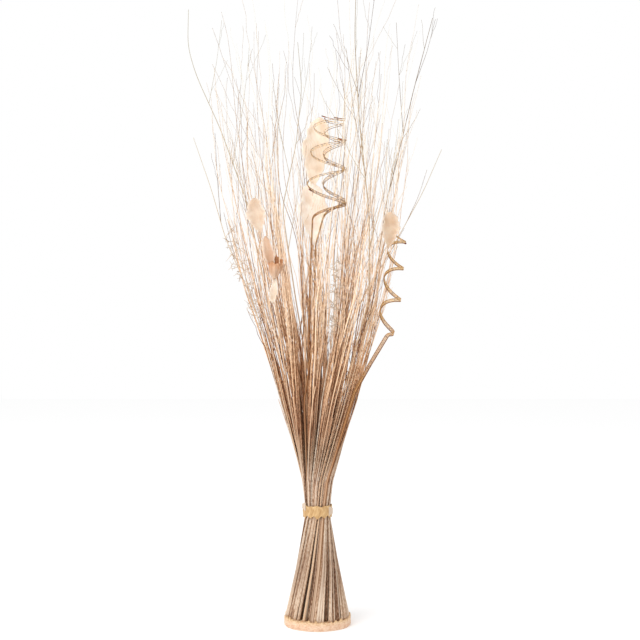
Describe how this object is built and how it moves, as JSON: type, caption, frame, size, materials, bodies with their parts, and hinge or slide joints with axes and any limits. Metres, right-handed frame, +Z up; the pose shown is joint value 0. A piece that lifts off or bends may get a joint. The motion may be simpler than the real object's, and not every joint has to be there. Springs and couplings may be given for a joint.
{
  "type": "bundle of dried twigs with coiled canes",
  "caption": "Tall twisted bundle of thin dried twigs, tied at the waist with a palm-leaf strip, with coiled canes, tendrils and papery leaves, standing on a round foot.",
  "frame": {"origin": "centre of the foot disc's flat underside, on the surface that the bundle stands on", "axes": "+Z up along the bundle from the foot to the tips; -Y towards the side that the picture shows; +X to its right"},
  "size_m": [0.4541, 0.444, 1.0839],
  "materials": {
    "twig": "dry matt bark, tan below and paler to the tips",
    "cane": "satin brown cane with fine grain and dark nodes",
    "tendril": "dry matt",
    "papery_leaf": "pale peach papery leaf with fine veins",
    "husk": "brown crinkled husk",
    "palm_strip": "golden folded palm leaf, slightly glossy",
    "foot": "pale rough glued fibre"
  },
  "bodies": {
    "root": {"twig_bunch_01": "twig", "twig_bunch_02": "twig", "twig_bunch_03": "twig", "twig_bunch_04": "twig", "twig_bunch_05": "twig", "twig_bunch_06": "twig", "twig_bunch_07": "twig", "twig_bunch_08": "twig", "twig_bunch_09": "twig", "twig_bunch_10": "twig", "twig_bunch_11": "twig", "twig_bunch_12": "twig", "twig_bunch_13": "twig", "twig_bunch_14": "twig", "twig_bunch_15": "twig", "twig_bunch_16": "twig", "twig_bunch_17": "twig", "twig_bunch_18": "twig", "twig_bunch_19": "twig", "tall_twig_left": "twig", "tall_twig_far_left": "twig", "tall_twig_right": "twig", "tall_twig_far_right": "twig", "tall_twig_front": "twig", "tall_twig_back": "twig", "coiled_cane_inner": "cane", "coiled_cane_outer": "cane", "coiled_cane_right": "cane", "tendril_left": "tendril", "tendril_front": "tendril", "papery_leaf_centre": "papery_leaf", "papery_leaf_left": "papery_leaf", "papery_leaf_right": "papery_leaf", "curled_husk": "husk", "tie_band": "palm_strip", "foot_disc": "foot"}
  },
  "joints": []
}
